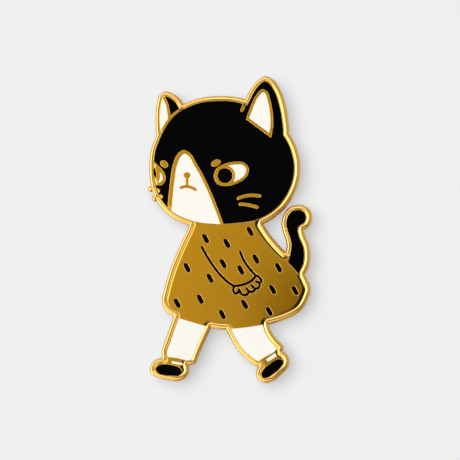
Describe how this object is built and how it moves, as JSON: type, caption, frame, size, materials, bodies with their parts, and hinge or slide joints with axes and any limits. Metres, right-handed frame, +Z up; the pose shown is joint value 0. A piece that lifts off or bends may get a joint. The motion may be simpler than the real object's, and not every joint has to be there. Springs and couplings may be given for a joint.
{
  "type": "enamel pin",
  "caption": "Flat plated pin badge shaped as a walking cat in a seeded dress, filled with flush black and white enamel, held by posts with butterfly clutches on the back.",
  "frame": {"origin": "on the plate's back face, midway between the two posts", "axes": "+Z up the figure, towards the ears; +Y out of the back face along the posts; the figure faces -Y"},
  "size_m": [0.0241, 0.0103, 0.045],
  "materials": {
    "gold_plate": "polished gold plating on a struck base metal",
    "black_enamel": "polished flush hard enamel, black",
    "white_enamel": "polished flush hard enamel, off-white",
    "post_steel": "thin gold plating on steel",
    "clutch_brass": "drawn brass sheet, lightly polished"
  },
  "bodies": {
    "badge": {"base_plate": "gold_plate", "head_black": "black_enamel", "left_ear_black": "black_enamel", "left_ear_white": "white_enamel", "right_ear_white": "white_enamel", "muzzle_white": "white_enamel", "right_pupil": "black_enamel", "right_eye_white": "white_enamel", "left_pupil": "black_enamel", "left_eye_white": "white_enamel", "tail_black": "black_enamel", "front_leg_white": "white_enamel", "back_leg_white": "white_enamel", "front_shoe_black": "black_enamel", "back_shoe_black": "black_enamel", "front_strap_white": "white_enamel", "back_strap_white": "white_enamel", "arm_line": "black_enamel", "seed_01": "black_enamel", "seed_02": "black_enamel", "seed_03": "black_enamel", "seed_04": "black_enamel", "seed_05": "black_enamel", "seed_06": "black_enamel", "seed_07": "black_enamel", "seed_08": "black_enamel", "seed_09": "black_enamel", "seed_10": "black_enamel", "seed_11": "black_enamel", "seed_12": "black_enamel", "seed_13": "black_enamel", "seed_14": "black_enamel", "seed_15": "black_enamel", "seed_16": "black_enamel", "upper_post": "post_steel", "lower_post": "post_steel"},
    "upper_clutch": {"upper_clutch_disc": "clutch_brass"},
    "upper_shell": {"upper_clutch_shell": "clutch_brass"},
    "upper_wing_left": {"upper_clutch_wing_left": "clutch_brass"},
    "upper_wing_right": {"upper_clutch_wing_right": "clutch_brass"},
    "lower_clutch": {"lower_clutch_disc": "clutch_brass"},
    "lower_shell": {"lower_clutch_shell": "clutch_brass"},
    "lower_wing_left": {"lower_clutch_wing_left": "clutch_brass"},
    "lower_wing_right": {"lower_clutch_wing_right": "clutch_brass"}
  },
  "joints": [
    {"name": "upper_clutch_slide", "type": "slide", "parent": "badge", "child": "upper_clutch", "axis": [0, 1, 0], "range_m": [0, 0.007]},
    {"name": "upper_shell_spin", "type": "hinge", "parent": "upper_clutch", "child": "upper_shell", "pos_m": [0, 0.005, 0.00945], "axis": [0, 1, 0], "continuous": true},
    {"name": "upper_wing_right_pinch", "type": "hinge", "parent": "upper_shell", "child": "upper_wing_right", "pos_m": [0.00432, 0.005, 0.00945], "axis": [0, 0, 1], "range_deg": [0, 12], "stiffness_Nm_per_rad": 0.01},
    {"name": "upper_wing_left_pinch", "type": "hinge", "parent": "upper_shell", "child": "upper_wing_left", "pos_m": [-0.00432, 0.005, 0.00945], "axis": [0, 0, -1], "range_deg": [0, 12], "stiffness_Nm_per_rad": 0.01},
    {"name": "lower_clutch_slide", "type": "slide", "parent": "badge", "child": "lower_clutch", "axis": [0, 1, 0], "range_m": [0, 0.007]},
    {"name": "lower_shell_spin", "type": "hinge", "parent": "lower_clutch", "child": "lower_shell", "pos_m": [0, 0.005, -0.00945], "axis": [0, 1, 0], "continuous": true},
    {"name": "lower_wing_right_pinch", "type": "hinge", "parent": "lower_shell", "child": "lower_wing_right", "pos_m": [0.00432, 0.005, -0.00945], "axis": [0, 0, 1], "range_deg": [0, 12], "stiffness_Nm_per_rad": 0.01},
    {"name": "lower_wing_left_pinch", "type": "hinge", "parent": "lower_shell", "child": "lower_wing_left", "pos_m": [-0.00432, 0.005, -0.00945], "axis": [0, 0, -1], "range_deg": [0, 12], "stiffness_Nm_per_rad": 0.01}
  ],
  "couplings": [
    {"joint": "upper_wing_left_pinch", "follows": "upper_wing_right_pinch", "ratio": 1},
    {"joint": "lower_wing_left_pinch", "follows": "lower_wing_right_pinch", "ratio": 1}
  ]
}
